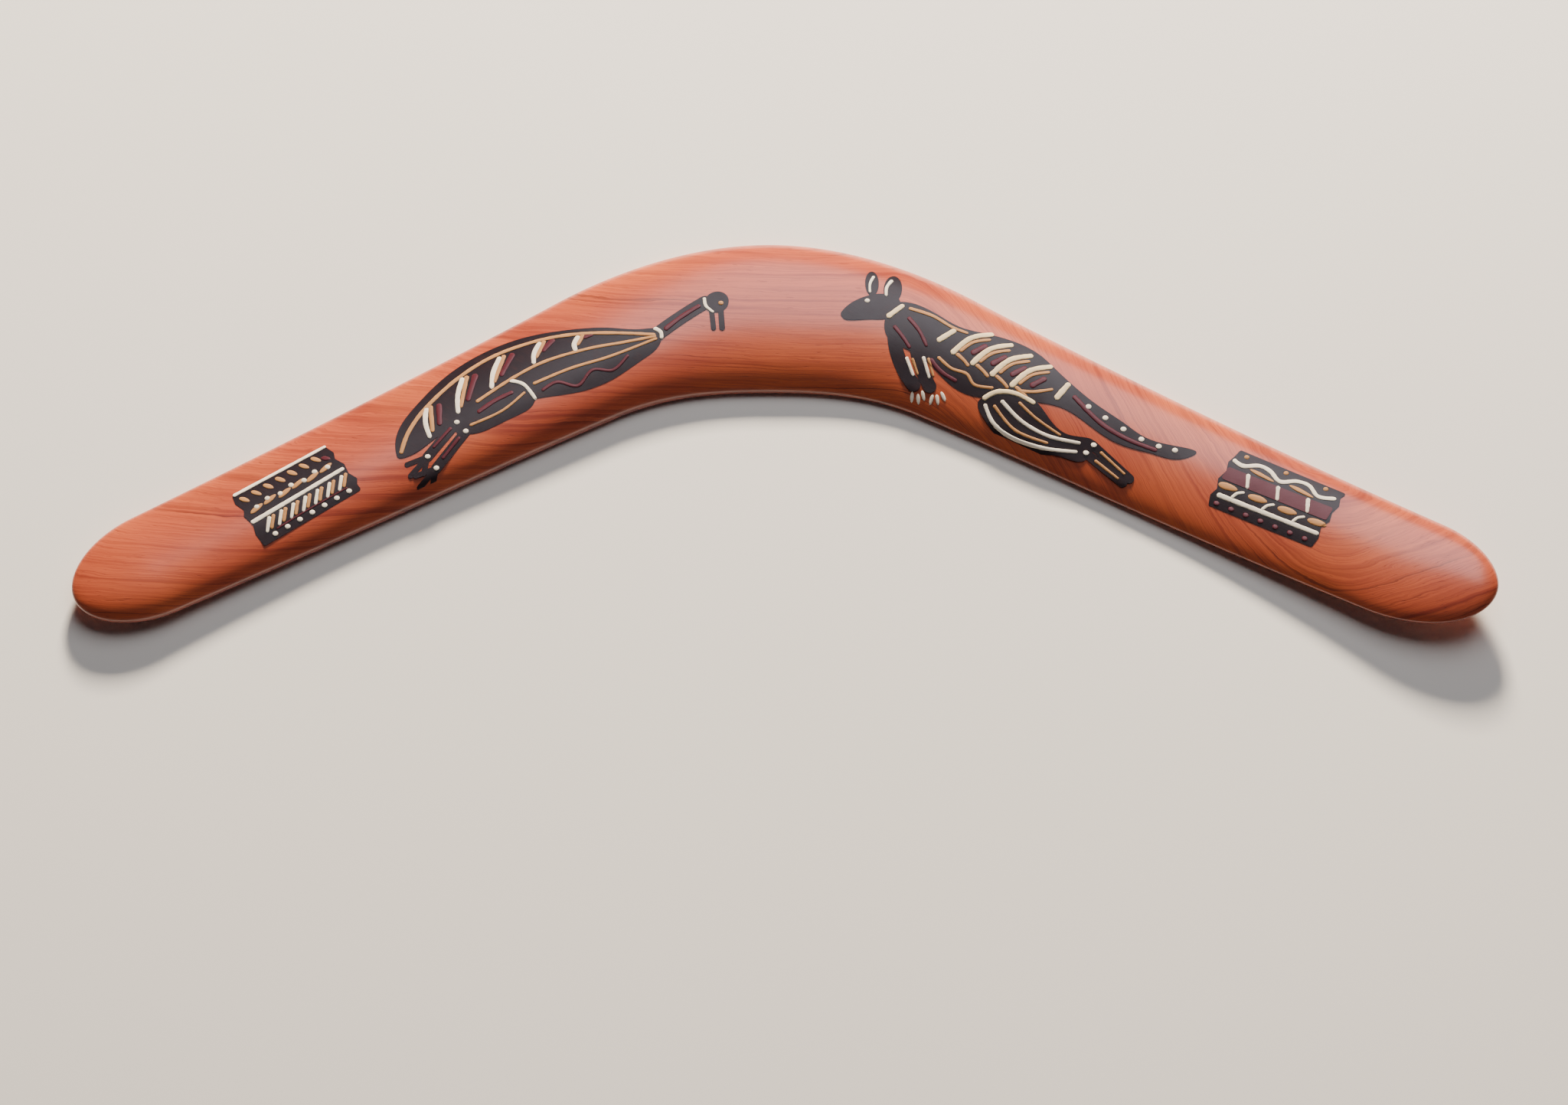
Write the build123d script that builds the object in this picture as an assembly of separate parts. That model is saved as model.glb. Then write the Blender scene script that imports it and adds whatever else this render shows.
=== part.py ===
from build123d import *

import os
from math import atan2, cos, degrees, exp, pi, radians, sin, sqrt

# A returning boomerang carved from one plank and painted by hand. Millimetres.
# +X runs to the right wing tip, +Y to the outer (convex) edge and +Z up to the painted face.
# The origin is on the flat underside, below the middle of the elbow.

# --- Driving dimensions ---------------------------------------------------------------------

ELBOW_RADIUS = 125.0  # bend of the centreline
ELBOW_CHORD = 52.3  # width of the blade across the elbow
CROWN = 7.0  # rise of the crowned top above the edge at the elbow
CROWN_TAPER = 0.0105  # loss of crown for each mm towards a tip
EDGE_HEIGHT = 1.6  # height of the widest line of the edge above the underside
PLANED_OFF = 0.3  # wood planed off to make the underside flat
EDGE_ROUND = 2.6  # how far the rounding of the lower edge reaches in under the blade
CREST_SKEW = 0.28  # how far the crest leans to the leading edge of each wing
SWELL_REACH = 45.0  # how far the widening at the elbow reaches along a wing
SOFTENING = 15.0  # rounds the change of taper at the elbow
LIFT_START = 118.0  # distance from the elbow where the underside begins to rise

# Each wing: angle below X, centreline length, root chord, taper, rise of the tip, direction in
# which the crest leans, how far the tip point sits outward of the centreline, and how long the
# rounding of the tip is on its outer and inner corner.
LEFT = dict(
    side=-1, sweep=27.7, length=242.0, root=47.1, taper=0.059, lift=4.0,
    lean=-1, tip_bias=0.0, outer_round=27.0, inner_round=27.0,
)
RIGHT = dict(
    side=1, sweep=27.2, length=250.9, root=45.1, taper=0.041, lift=9.0,
    lean=1, tip_bias=3.0, outer_round=24.0, inner_round=35.0,
)

PAINT_ORIGIN = (0, 13)  # both wing frames of the decoration turn about this point
COAT = 0.15  # thickness of a ground coat
STROKE = 0.20  # thickness of a brush stroke on bare wood or on a ground coat
PAINT_FLOOR = 1.0  # height at which the stencils of the decoration start, inside the wood

# --- The carved blank -----------------------------------------------------------------------

TOP_STEPS = 10
EDGE_STEPS = 3
TIP_STEPS = 7
WING_STEPS = 13


def wing_at(distance):
    return RIGHT if distance > 0 else LEFT


def section_plane(distance):
    """Upright plane across the blade: x points to the outer edge, y up, z towards +X."""
    wing = wing_at(distance)
    bend = radians(wing["sweep"]) * ELBOW_RADIUS
    turn = min(abs(distance), bend) / ELBOW_RADIUS
    straight = max(abs(distance) - bend, 0)
    x = ELBOW_RADIUS * sin(turn) + straight * cos(turn)
    y = ELBOW_RADIUS * (cos(turn) - 1) - straight * sin(turn)
    side = wing["side"]
    outward = (side * sin(turn), cos(turn), 0)
    rightward = (cos(turn), -side * sin(turn), 0)
    return Plane(origin=(side * x, y, 0), x_dir=outward, z_dir=rightward)


def rounding(gap, radius):
    """Share of the full size left at a gap from the tip, for an elliptical end."""
    if gap >= radius:
        return 1
    return sqrt(1 - ((radius - gap) / radius) ** 2)


def smooth_edge(point_at, steps, leave, arrive):
    """Curve through evenly shared points, with its directions at both ends."""
    shares = [i / steps for i in range(steps + 1)]
    points = [point_at(share) for share in shares]
    return Edge.make_spline(points, tangents=[leave, arrive], parameters=shares)


def section(distance):
    """The blade's closed outline across the grain at a distance along the centreline."""
    wing = wing_at(distance)
    along = abs(distance)
    soft = sqrt(along**2 + SOFTENING**2) - SOFTENING
    near_elbow = exp(-((along / SWELL_REACH) ** 2))
    half_chord = (wing["root"] - wing["taper"] * soft + (ELBOW_CHORD - wing["root"]) * near_elbow) / 2
    gap = wing["length"] - along
    bias = wing["tip_bias"]
    outer = bias + (half_chord - bias) * rounding(gap, wing["outer_round"])
    inner = bias - (half_chord + bias) * rounding(gap, wing["inner_round"])
    middle = (outer + inner) / 2
    half = (outer - inner) / 2
    thinning = rounding(gap, wing["outer_round"])
    crown = (CROWN - CROWN_TAPER * soft) * thinning
    skew = CREST_SKEW * wing["lean"] * (1 - near_elbow)
    rise = wing["lift"] * (max(along - LIFT_START, 0) / (wing["length"] - LIFT_START)) ** 2
    edge = EDGE_HEIGHT + rise
    depth = (EDGE_HEIGHT + PLANED_OFF) * thinning
    turn_in = EDGE_ROUND * thinning

    def crown_point(share):
        angle = pi * share
        return (middle + half * cos(angle), edge + crown * sin(angle) * (1 + skew * cos(angle)))

    def inner_corner_point(share):
        angle = pi / 2 * share
        return (inner + turn_in * (1 - cos(angle)), edge - depth * sin(angle))

    def outer_corner_point(share):
        angle = pi / 2 * (1 - share)
        return (outer - turn_in * (1 - cos(angle)), edge - depth * sin(angle))

    crest = smooth_edge(crown_point, TOP_STEPS, (0, 1), (0, -1))
    inner_corner = smooth_edge(inner_corner_point, EDGE_STEPS, (0, -1), (1, 0))
    flat = Line(inner_corner @ 1, outer_corner_point(0))
    outer_corner = smooth_edge(outer_corner_point, EDGE_STEPS, (1, 0), (0, 1))
    return section_plane(distance) * make_face([crest, inner_corner, flat, outer_corner])


def stations():
    """Distances of the sections: even along the wings and close together round the tips."""
    marks = [0]
    for wing in (LEFT, RIGHT):
        tip = wing["outer_round"]
        inboard = wing["length"] - tip
        for step in range(1, WING_STEPS + 1):
            marks.append(wing["side"] * inboard * step / WING_STEPS)
        for step in range(1, TIP_STEPS):
            angle = pi / 2 * step / TIP_STEPS
            marks.append(wing["side"] * (inboard + tip * sin(angle)))
        marks.append(wing["side"] * (wing["length"] - 0.2))
    return sorted(marks)


def make_blank():
    carved = loft([section(mark) for mark in stations()])
    return split(carved, bisect_by=Plane.XY, keep=Keep.TOP)


# --- Brush work in the plane -----------------------------------------------------------------
# The bird and the left panel are laid out in the left wing frame and the kangaroo and the right
# panel in the right wing frame. Both frames start at PAINT_ORIGIN. On the left wing x counts
# towards the elbow, so it is negative; on the right wing it counts outward. y points to the
# outer edge.


def on_wing(wing, drawing):
    """Turns a drawing made in a wing's frame into its place on the blade."""
    turn = -wing["side"] * wing["sweep"]
    return Pos(*PAINT_ORIGIN) * Rot(0, 0, turn) * drawing


def dab(x, y, radius):
    return Pos(x, y) * Circle(radius)


def leaf(x, y, length, width, turn=0):
    """A pointed-oval dab of the brush: long axis turned from x by turn degrees."""
    return Pos(x, y) * Rot(0, 0, turn) * Ellipse(length / 2, width / 2)


def line(start, end, width):
    """A straight stroke with round ends."""
    run = Vector(*end) - Vector(*start)
    middle = (Vector(*start) + Vector(*end)) / 2
    turn = degrees(atan2(run.Y, run.X))
    return Pos(middle.X, middle.Y) * Rot(0, 0, turn) * SlotOverall(run.length + width, width)


def curve(width, *points):
    """A curved stroke of even width with round ends through three points or more."""
    path = Spline(*points)
    steps = 3 * (len(points) - 1)
    upper, lower = [], []
    for share in [i / steps for i in range(steps + 1)]:
        ahead = path % share
        aside = Vector(-ahead.Y, ahead.X) * width / 2
        upper.append(path @ share + aside)
        lower.append(path @ share - aside)
    far_cap = ThreePointArc(upper[-1], path @ 1 + (path % 1) * width / 2, lower[-1])
    near_cap = ThreePointArc(lower[0], path @ 0 - (path % 0) * width / 2, upper[0])
    return make_face([Spline(*upper), far_cap, Spline(*lower), near_cap])


def blob(*points):
    """A filled shape with one smooth outline."""
    return make_face(Spline(*points, periodic=True))


def together(*shapes):
    return Sketch() + [shape for shape in shapes]


# --- Bird on the left wing --------------------------------------------------------------------

BIRD_BARS = [
    ((-119.3, 9.4), (-122.4, 0.2)), ((-104.4, 13.6), (-110.6, 3.6)), ((-90.6, 14.6), (-97.2, 6.4)),
    ((-76.9, 13.0), (-81.4, 7.8)), ((-65.0, 8.8), (-67.6, 5.4)),
]
BIRD_KNEES = [(-112.6, 0.4), (-111.4, -3.7)]
BIRD_HEELS = [(-126.0, -5.8), (-125.2, -10.4)]


def bird_ground():
    body = blob(
        (-134.6, -1.0), (-131.6, 5.6), (-121.0, 12.6), (-108.0, 17.6), (-94.0, 19.4), (-80.0, 17.8),
        (-66.0, 12.9), (-54.0, 6.9), (-45.0, 1.5), (-40.4, -1.6), (-41.4, -4.4), (-50.0, -7.9),
        (-61.0, -9.4),
        (-73.0, -8.4), (-85.0, -4.6), (-98.0, -1.6), (-112.0, -0.4), (-124.0, -2.0), (-131.0, -2.9),
    )
    thigh = blob(
        (-114.0, -1.6), (-110.0, 1.8), (-101.0, 3.4), (-91.0, 3.6), (-86.0, 0.0), (-87.4, -4.8),
        (-95.0, -6.4), (-104.0, -6.4), (-111.0, -5.0),
    )
    neck = curve(4.7, (-42.0, -2.3), (-32.0, -0.5), (-23.0, 0.5))
    head = leaf(-19.6, -1.1, 8.0, 7.4)
    upper_beak = line((-19.6, -4.0), (-22.2, -10.0), 1.9)
    lower_beak = line((-22.6, -3.4), (-24.7, -8.8), 1.7)
    legs = [line(knee, heel, 3.3) for knee, heel in zip(BIRD_KNEES, BIRD_HEELS)]
    toes = []
    for x, y in BIRD_HEELS:
        for reach_x, reach_y in ((-7.0, 0.6), (-7.6, -3.2), (-3.6, -4.4)):
            toes.append(line((x, y), (x + reach_x, y + reach_y), 1.7))
    return together(body, thigh, neck, head, upper_beak, lower_beak, *legs, *toes)


def bird_white():
    bars = [
        curve(1.7, top, ((top[0] + foot[0]) / 2 - 0.7, (top[1] + foot[1]) / 2 + 0.3), foot)
        for top, foot in BIRD_BARS
    ]
    thigh_arc = curve(1.3, (-90.8, 5.2), (-87.8, 2.0), (-86.8, -3.9))
    collar = curve(1.4, (-41.6, -0.4), (-40.6, -2.2), (-41.2, -4.0))
    throat = curve(1.1, (-22.6, 1.7), (-23.4, -0.9), (-22.4, -3.6))
    dots = [dab(x, y, 0.85) for x, y in BIRD_KNEES + BIRD_HEELS]
    return together(*bars, thigh_arc, collar, throat, *dots)


def bird_ochre():
    back_line = curve(
        1.4, (-132.8, -0.6), (-127.6, 4.8), (-118.5, 10.2), (-105.0, 14.8), (-91.5, 16.4),
        (-77.0, 14.4), (-65.0, 10.3), (-54.0, 4.6), (-43.0, -2.0),
    )
    wing_line = curve(
        1.2, (-103.5, 3.9), (-90.0, 5.9), (-78.0, 6.2), (-64.0, 3.6), (-53.0, 0.2), (-43.0, -2.7),
    )
    breast_line = curve(1.1, (-84.6, 0.8), (-72.0, 0.0), (-59.0, -2.2), (-43.0, -3.6))
    thigh_line = curve(1.0, (-109.0, -2.6), (-98.0, -2.9), (-89.0, -0.6))
    shades = [
        line((top[0] + 1.6, top[1]), (foot[0] + 1.7, foot[1] + 1.4), 1.5) for top, foot in BIRD_BARS
    ]
    return together(back_line, wing_line, breast_line, thigh_line, *shades, dab(-18.6, -2.2, 0.8))


def bird_maroon():
    neck_stripe = curve(1.6, (-38.4, -1.9), (-32.0, -0.5), (-25.6, 0.2))
    ripple = curve(
        1.1, (-83.2, -2.6), (-78.0, -2.2), (-72.6, -6.4), (-66.0, -3.8), (-60.0, -6.8), (-53.8, -4.6),
    )
    thigh_stripe = curve(1.5, (-104.6, 0.4), (-98.5, 1.4), (-92.6, 1.4))
    shins = [line((-115.4, -0.6), (-122.8, -3.8), 1.1), line((-114.4, -4.8), (-121.8, -8.4), 1.1)]
    feathers = []
    for top, foot in BIRD_BARS:
        feathers.append(line((top[0] + 4.2, top[1] - 0.9), (foot[0] + 4.8, foot[1] + 2.6), 1.9))
    return together(neck_stripe, ripple, thigh_stripe, *shins, *feathers)


# --- Kangaroo on the right wing ----------------------------------------------------------------

RIBS = 4
RIB_PITCH = 7.3
HOCK_DOTS = [(118.7, -8.4), (119.8, -5.1)]
TAIL_DOTS = [(112.7, 5.5), (119.2, 4.5), (126.0, 3.7), (132.6, 3.2), (138.6, 3.5), (143.8, 4.6)]
CLAW_LENGTH = 3.4
CLAWS = [
    (60.3, -16.2, -66), (62.4, -15.9, -58), (63.4, -14.3, -50),
    (66.3, -14.3, -79), (68.1, -13.5, -54), (69.3, -11.8, -38),
]


def kangaroo_ground():
    head = blob(
        (27.2, -1.4), (28.4, 2.6), (31.8, 7.4), (36.4, 10.8), (42.0, 11.2), (43.6, 7.6), (41.6, 3.4),
        (36.4, 0.4), (31.2, -2.6), (28.4, -3.0),
    )
    front_ear = leaf(31.3, 12.6, 9.2, 4.5, 117)
    back_ear = leaf(38.3, 13.8, 10.4, 6.0, 111)
    body = blob(
        (42.4, 10.6), (50.0, 12.5), (57.0, 12.0), (64.0, 11.6), (70.0, 12.8), (76.5, 14.4), (84.0, 15.4),
        (91.0, 14.8), (98.0, 12.4), (105.0, 10.0), (114.0, 7.6), (126.0, 5.6), (138.0, 4.8), (150.2, 6.6),
        (147.5, 3.4), (138.0, 0.5), (127.0, -1.3), (115.0, 0.2), (105.0, 1.4), (96.0, -0.8), (88.0, -3.4),
        (79.0, -7.4), (70.0, -7.6), (62.0, -4.8), (53.0, -3.2), (44.0, -2.0), (40.6, 4.0),
    )
    arms = [
        curve(4.5, (45.2, 1.0), (49.0, -5.0), (54.0, -9.6), (59.0, -12.5)),
        curve(4.2, (54.0, -1.0), (58.6, -6.4), (64.0, -10.8)),
    ]
    thigh = blob(
        (80.4, -7.6), (84.6, -2.6), (91.0, 0.2), (98.0, -0.8), (104.0, -4.0), (112.0, -5.4), (119.6, -4.2),
        (119.6, -10.6), (112.0, -13.0), (103.0, -15.9), (93.6, -16.5), (84.6, -12.8),
    )
    shin = [line((119.4, -5.3), (134.8, -10.0), 3.0), line((118.8, -8.6), (133.4, -12.0), 3.0)]
    return together(head, front_ear, back_ear, body, *arms, thigh, *shin)


def rib_roots():
    return [(65.8 + RIB_PITCH * i, 2.6 - 0.5 * i) for i in range(RIBS)]


def kangaroo_cream():
    """Ribs, collar, rump band and the arc over the thigh."""
    ribs = [curve(1.9, (x, y), (x + 2.8, y + 6.8), (x + 8.1, y + 11.2)) for x, y in rib_roots()]
    first_rib = line((59.9, 4.4), (62.6, 9.2), 1.9)
    rump_band = line((102.4, 3.9), (103.6, 9.2), 2.0)
    collar = line((41.6, 4.4), (43.8, 9.4), 1.8)
    thigh_arc = curve(1.6, (81.6, -6.6), (84.4, -3.0), (90.2, -0.9), (96.2, -1.2))
    return together(*ribs, first_rib, rump_band, collar, thigh_arc)


def kangaroo_white():
    """Fine lines on the limbs and the dots of eye, hock and tail."""
    shank = [
        curve(1.2, (82.8, -8.6), (87.6, -12.6), (95.0, -14.2), (105.6, -13.0), (115.6, -9.6)),
        curve(1.2, (87.2, -5.2), (95.6, -8.2), (105.4, -8.8), (115.2, -6.6)),
    ]
    forearm = [line((53.2, -5.9), (57.4, -9.8), 1.1), line((58.0, -3.4), (62.4, -8.2), 1.1)]
    front_ear = curve(0.9, (30.7, 15.0), (30.9, 12.0), (32.2, 9.4))
    back_ear = curve(1.1, (36.6, 16.4), (36.3, 13.4), (37.4, 10.8))
    dots = [dab(32.9, 6.0, 0.8)]
    dots += [dab(x, y, 0.9) for x, y in HOCK_DOTS + TAIL_DOTS]
    return together(*shank, *forearm, front_ear, back_ear, *dots)


def kangaroo_ochre():
    spine = curve(1.2, (46.6, 9.9), (54.0, 10.9), (61.4, 10.2), (66.6, 10.6))
    hooks = []
    for x, y in rib_roots():
        hooks.append(curve(1.3, (x + 1.6, y - 0.2), (x + 4.2, y - 1.0), (x + 6.0, y - 1.9)))
        hooks.append(curve(1.2, (x + 2.0, y + 1.6), (x + 4.2, y + 5.9), (x + 8.4, y + 9.2)))
    flank = curve(1.2, (90.6, 0.3), (95.0, 2.2), (99.6, 5.4))
    ripple = curve(1.1, (62.4, -1.2), (67.5, -2.6), (72.8, -2.1), (76.8, -4.2), (82.2, -2.6))
    shank = [
        curve(1.0, (85.6, -7.6), (95.0, -11.7), (106.0, -11.0)),
        curve(0.9, (92.4, -3.2), (99.4, -5.4), (108.6, -6.9)),
    ]
    forearm = [line((55.0, -5.4), (58.6, -8.9), 0.9), line((59.6, -3.0), (63.4, -7.2), 0.9)]
    shin = [line((123.0, -6.4), (132.6, -9.3), 0.9), line((122.6, -9.5), (131.4, -11.5), 0.9)]
    return together(spine, *hooks, flank, ripple, *shank, *forearm, *shin)


def kangaroo_maroon():
    shoulder = [
        curve(1.3, (45.0, 1.8), (48.6, 0.0), (52.2, -2.2)),
        curve(1.3, (47.8, 6.6), (52.6, 4.2), (56.8, 0.8)),
    ]
    belly = curve(1.5, (60.6, -3.0), (65.0, -5.0), (70.4, -5.6))
    flank = [line((x + 5.8, y + 2.8), (x + 8.2, y + 6.4), 1.9) for x, y in rib_roots()]
    tail = curve(1.6, (107.4, 6.4), (118.0, 2.4), (128.0, 1.2), (138.0, 1.9))
    return together(*shoulder, belly, *flank, tail)


def kangaroo_claws():
    return together(*[leaf(x, y, CLAW_LENGTH, 1.2, turn) for x, y, turn in CLAWS])


# --- Panels towards the wing tips ---------------------------------------------------------------

PANEL_HALF = 16.5  # from the middle of a panel to the end of its long lines


def left_panel(drawing):
    return Pos(-168.5, 2.0) * Rot(0, 0, 4.7) * drawing


def right_panel(drawing):
    return Pos(179.0, 4.5) * Rot(0, 0, 2.4) * drawing


def row(count, start, pitch):
    return [start + pitch * i for i in range(count)]


def left_panel_white():
    top_line = line((-16.8, 10.6), (15.6, 10.0), 1.3)
    middle_line = line((-PANEL_HALF, -1.0), (PANEL_HALF, -0.3), 1.5)
    bars = [line((x, -2.5), (x - 2.7, -6.0), 1.2) for x in row(7, -11.4, 4.4)]
    return left_panel(together(top_line, middle_line, *bars))


def left_panel_dots():
    beads = [dab(x, 2.9 + 0.8 * (i % 2), 0.85) for i, x in enumerate(row(7, -12.9, 4.3))]
    foot_dots = [dab(x, -8.0, 0.85) for x in row(7, -12.4, 4.5)]
    return left_panel(together(*beads, *foot_dots))


def left_panel_ochre():
    dashes = [leaf(x, 7.4, 3.7, 1.7, -52) for x in row(7, -15.0, 4.35)]
    chain = [leaf(x, 2.5 + 0.5 * (i % 2), 5.0, 1.7, 12) for i, x in enumerate(row(6, -13.2, 5.1))]
    shades = [line((x + 1.5, -2.5), (x - 0.9, -5.7), 1.2) for x in row(7, -11.4, 4.4)]
    return left_panel(together(*dashes, *chain, *shades))


def left_panel_maroon():
    thread = curve(0.6, (-11.0, -6.9), (0.0, -6.6), (14.6, -6.7))
    corner = leaf(14.0, 6.0, 3.2, 1.6, -40)
    return left_panel(together(thread, corner))


def left_panel_ground():
    outline = Polyline(
        (-17.6, 10.9), (15.8, 10.3), (17.2, 6.4), (16.4, 4.2), (18.0, 1.0), (17.6, -2.6), (19.0, -5.6),
        (18.0, -7.4), (18.2, -9.6), (-17.4, -9.8), (-17.8, -5.0), (-16.9, -1.8), (-18.0, 2.2), (-16.9, 4.2),
        (-18.2, 7.6), close=True,
    )
    return left_panel(fillet(make_face(outline).vertices(), 0.7))


def right_panel_white():
    wave = curve(
        1.5, (-16.4, 6.2), (-13.4, 5.5), (-8.6, 7.7), (-4.8, 7.4), (-0.6, 5.3), (4.2, 7.6), (8.4, 7.8),
        (12.4, 5.4), (17.2, 6.8),
    )
    posts = [line((x, 3.1), (x + 1.2, -0.6), 1.3) for x in row(3, -10.6, 10.2)]
    base_line = line((-PANEL_HALF, -6.6), (PANEL_HALF, -6.3), 1.6)
    branches = [curve(1.0, (x, -5.6), (x + 0.9, -3.9), (x + 2.6, -2.9)) for x in row(3, -12.4, 10.3)]
    return right_panel(together(wave, *posts, base_line, *branches))


def right_panel_ochre():
    stones = [leaf(x, -3.0, 6.4, 2.4, 4) for x in row(4, -15.0, 10.1)]
    hills = [leaf(x, 4.9, 8.6, 1.5, -6) for x in (-6.6, 6.8)]
    dots = [dab(x, 8.9, 0.8) for x in row(3, -13.4, 13.5)]
    return right_panel(together(*stones, *hills, *dots))


def right_panel_maroon():
    field = Polyline((-17.4, 3.4), (18.2, 3.6), (17.6, -1.2), (-18.2, -1.2), close=True)
    return right_panel(fillet(make_face(field).vertices(), 0.8))


def right_panel_dots():
    return right_panel(together(*[dab(x, -9.2, 0.95) for x in row(7, -16.2, 5.0)]))


def right_panel_ground():
    outline = Polyline(
        (-16.2, 10.6), (20.4, 10.2), (19.0, 7.8), (19.6, 5.0), (18.4, 2.0), (18.8, -1.0), (17.0, -3.6),
        (17.6, -7.4), (16.8, -11.0), (-18.4, -10.8), (-19.2, -7.4), (-18.0, -4.8), (-19.0, -1.6),
        (-17.6, 1.8), (-18.2, 5.0), (-17.0, 7.8), close=True,
    )
    return right_panel(fillet(make_face(outline).vertices(), 0.7))


# --- Films of paint ---------------------------------------------------------------------------

STENCIL_HEIGHT = 25.0


def film(blank, drawing, base, thickness):
    """A layer of paint in the shape of a drawing, lying base above the wood's crowned top."""
    crown = blank.faces().sort_by(SortBy.AREA)[-1]
    stencil = extrude(Pos(0, 0, PAINT_FLOOR) * drawing, STENCIL_HEIGHT)
    patches = crown.intersect(stencil).faces()
    return Compound([Solid.extrude(Pos(0, 0, base) * patch, (0, 0, thickness)) for patch in patches])


def painted_figure(blank, wing, name, ground, colours):
    """The ground coat and, side by side on it, one film for each colour, last colour on top."""
    parts = {f"{name}_ground": film(blank, on_wing(wing, ground), 0, COAT)}
    covered = None
    for colour, drawing in reversed(colours):
        shown = drawing & ground
        if covered is not None:
            shown = shown - covered
        covered = drawing if covered is None else covered + drawing
        parts[f"{name}_{colour}"] = film(blank, on_wing(wing, shown), COAT, STROKE)
    return parts


def make_parts():
    blank = make_blank()
    parts = {"timber_blank": blank}
    parts |= painted_figure(blank, LEFT, "bird", bird_ground(), [
        ("maroon_lines", bird_maroon()), ("ochre_lines", bird_ochre()), ("white_lines", bird_white()),
    ])
    parts |= painted_figure(blank, RIGHT, "kangaroo", kangaroo_ground(), [
        ("maroon_lines", kangaroo_maroon()), ("ochre_lines", kangaroo_ochre()),
        ("white_lines", kangaroo_white()), ("cream_ribs", kangaroo_cream()),
    ])
    parts |= painted_figure(blank, LEFT, "left_panel", left_panel_ground(), [
        ("maroon_thread", left_panel_maroon()), ("ochre_dashes", left_panel_ochre()),
        ("white_lines", left_panel_white()), ("white_dots", left_panel_dots()),
    ])
    parts |= painted_figure(blank, RIGHT, "right_panel", right_panel_ground(), [
        ("maroon_field", right_panel_maroon()), ("maroon_dots", right_panel_dots()),
        ("ochre_stones", right_panel_ochre()), ("white_lines", right_panel_white()),
    ])
    claws = kangaroo_claws() - kangaroo_ground()
    parts["kangaroo_claws"] = film(blank, on_wing(RIGHT, claws), 0, STROKE)
    return parts


os.makedirs("parts", exist_ok=True)
for node, shape in make_parts().items():
    export_step(shape, f"parts/{node}.step")
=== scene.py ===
from math import cos, pi, radians, sin

import bpy
from mathutils import Matrix, Vector


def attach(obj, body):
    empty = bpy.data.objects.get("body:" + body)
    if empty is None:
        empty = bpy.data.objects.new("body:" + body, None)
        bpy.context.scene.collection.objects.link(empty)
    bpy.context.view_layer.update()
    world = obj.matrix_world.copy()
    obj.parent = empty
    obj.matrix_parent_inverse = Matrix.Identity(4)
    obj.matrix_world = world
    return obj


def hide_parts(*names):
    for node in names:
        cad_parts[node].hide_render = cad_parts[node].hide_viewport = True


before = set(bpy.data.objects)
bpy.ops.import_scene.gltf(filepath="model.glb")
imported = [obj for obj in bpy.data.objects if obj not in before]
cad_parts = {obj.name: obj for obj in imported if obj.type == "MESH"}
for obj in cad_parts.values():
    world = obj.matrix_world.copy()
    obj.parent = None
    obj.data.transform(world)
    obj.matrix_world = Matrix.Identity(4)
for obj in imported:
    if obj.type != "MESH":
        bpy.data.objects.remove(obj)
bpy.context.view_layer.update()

# A boomerang, carved from one plank, varnished and painted by hand. The sizes of the blade and
# its paint are in millimetres until they meet Blender, which works in metres, as the studio does.
# +X runs to the right wing tip, +Y to the outer (convex) edge, +Z up to the painted face.

MM = 0.001

# --- Driving dimensions of the carved blade ---------------------------------------------------

ELBOW_RADIUS = 125.0  # bend of the centreline at the elbow
ELBOW_CHORD = 52.3  # width at the middle of the elbow
CROWN = 7.0  # height of the crowned top above its edges
CROWN_TAPER = 0.0105  # loss of that height with each millimetre along a wing
EDGE_HEIGHT = 1.6  # height of the edges above the bench
PLANED_OFF = 0.3  # taken off the underside where the blade lies flat
EDGE_ROUND = 2.6  # how far the lower corners turn in
CREST_SKEW = 0.28  # how strongly the crest leans to one edge
SWELL_REACH = 45.0  # how far along a wing the elbow's own width fades
SOFTENING = 15.0  # rounds the start of the tapers at the elbow
LIFT_START = 118.0  # how far along a wing the rise of its tip starts

# Sweeps are in degrees. A lean of 1 moves the crest to the outer edge, -1 to the inner edge.
LEFT = dict(
    side=-1, sweep=27.7, length=242.0, root=47.1, taper=0.059, lift=4.0,
    lean=-1, tip_bias=0.0, outer_round=27.0, inner_round=27.0,
)
RIGHT = dict(
    side=1, sweep=27.2, length=250.9, root=45.1, taper=0.041, lift=9.0,
    lean=1, tip_bias=3.0, outer_round=24.0, inner_round=35.0,
)
RINGS = 240  # sections along each wing
ROUND = 116  # points round a section
TOP_SHARE = 0.6  # share of those points on the crowned top
KNIFE_MARKS = 0.05  # most that the spokeshave's unevenness can span, from hollow to ridge
FACETS_ALONG = 30.0  # changes of that unevenness in a metre along x
FACETS_ACROSS = 95.0  # and along y
SIDE_SLOPE, TOP_SLOPE = 0.2, 0.7  # upward part of the normal where it starts and where it is full
SEAM = 0.01  # points closer than this are one

KNOT = (250.0, -190.0)  # the growth rings of the right wing sweep round this point

# --- Paint ------------------------------------------------------------------------------------

PAINT_ORIGIN = (0, 13)
STROKE_STEP = 0.26  # spacing of the rings along a brush stroke
STROKE_RISE = 0.17  # height of a loaded stroke above its edges
SUNK = -0.02  # edges of a stroke sit this much inside the coat or the wood below
LAYER = 0.02  # each later colour lies this much higher
SAME_POINT = 0.001  # gathers the ring at each end of a stroke into one point
CLEAR_ABOVE = 50.0  # height above everything, from which the surface below is felt for
HAND_SHAKE = 0.42  # how strongly a stroke's width wavers
PRESS = 1.06  # width at the start of a stroke, where the brush is pressed down
LIFT_OFF = 0.16  # loss of width by the end, where the brush lifts
SHAKES = 420.0  # waverings of the hand in a metre
DOME_SIDES = 12  # points round a stroke
DOME_BOW = 0.6  # below 1, the dome has full shoulders
UNDERSIDE = 0.3  # depth of a stroke's underside, as a share of its height
THIN_END = 0.35  # share of its height that a stroke keeps at its ends
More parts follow.
